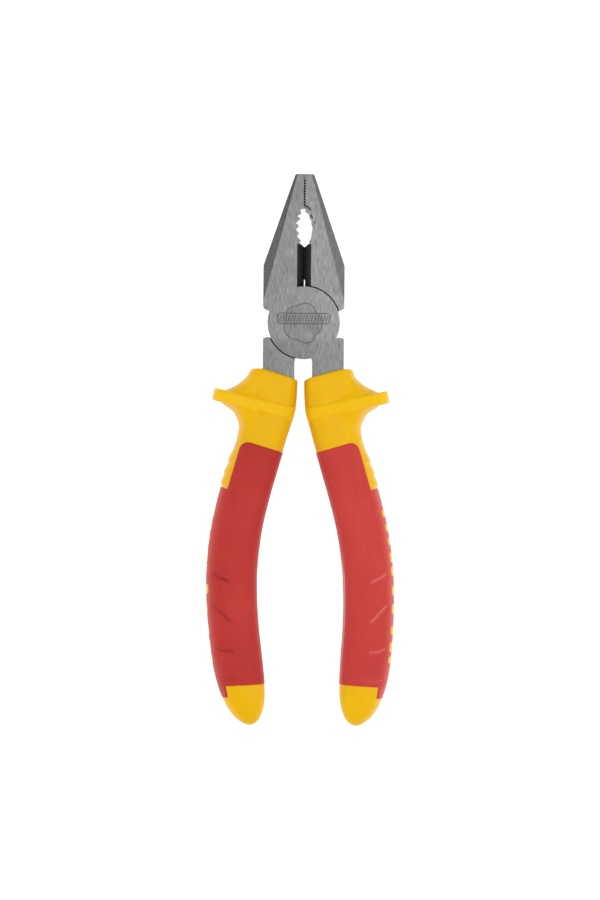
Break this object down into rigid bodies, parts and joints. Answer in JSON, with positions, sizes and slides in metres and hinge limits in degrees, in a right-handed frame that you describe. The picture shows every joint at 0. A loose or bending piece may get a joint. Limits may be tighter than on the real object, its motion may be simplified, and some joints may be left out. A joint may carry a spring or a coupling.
{
  "type": "insulated lineman pliers",
  "caption": "Insulated combination pliers: half-lapped steel jaws with cutter, pipe grip and serrated tips, on two-component guarded handles.",
  "frame": {"origin": "on the joint axis, on the flat rear face of the head", "axes": "+Z along the joint rivet, out of the front face of the head; +Y towards the jaw tip; +X towards the right-hand jaw and handle"},
  "size_m": [0.0616, 0.18, 0.0194],
  "materials": {
    "jaw_steel": "ground, grain along the tool, oxide-dark cutter",
    "rivet_steel": "ground flush",
    "hard_insulation": "satin moulded, yellow",
    "soft_cover": "soft matte overmould, red"
  },
  "bodies": {
    "rear_half": {"rear_lever": "jaw_steel", "left_grip_core": "hard_insulation", "left_grip_cover": "soft_cover"},
    "front_half": {"front_lever": "jaw_steel", "pivot_rivet": "rivet_steel", "right_grip_core": "hard_insulation", "right_grip_cover": "soft_cover"}
  },
  "joints": [
    {"name": "jaw_pivot", "type": "hinge", "parent": "rear_half", "child": "front_half", "pos_m": [0, 0, 0.005], "axis": [0, 0, 1], "range_deg": [0, 40]}
  ]
}
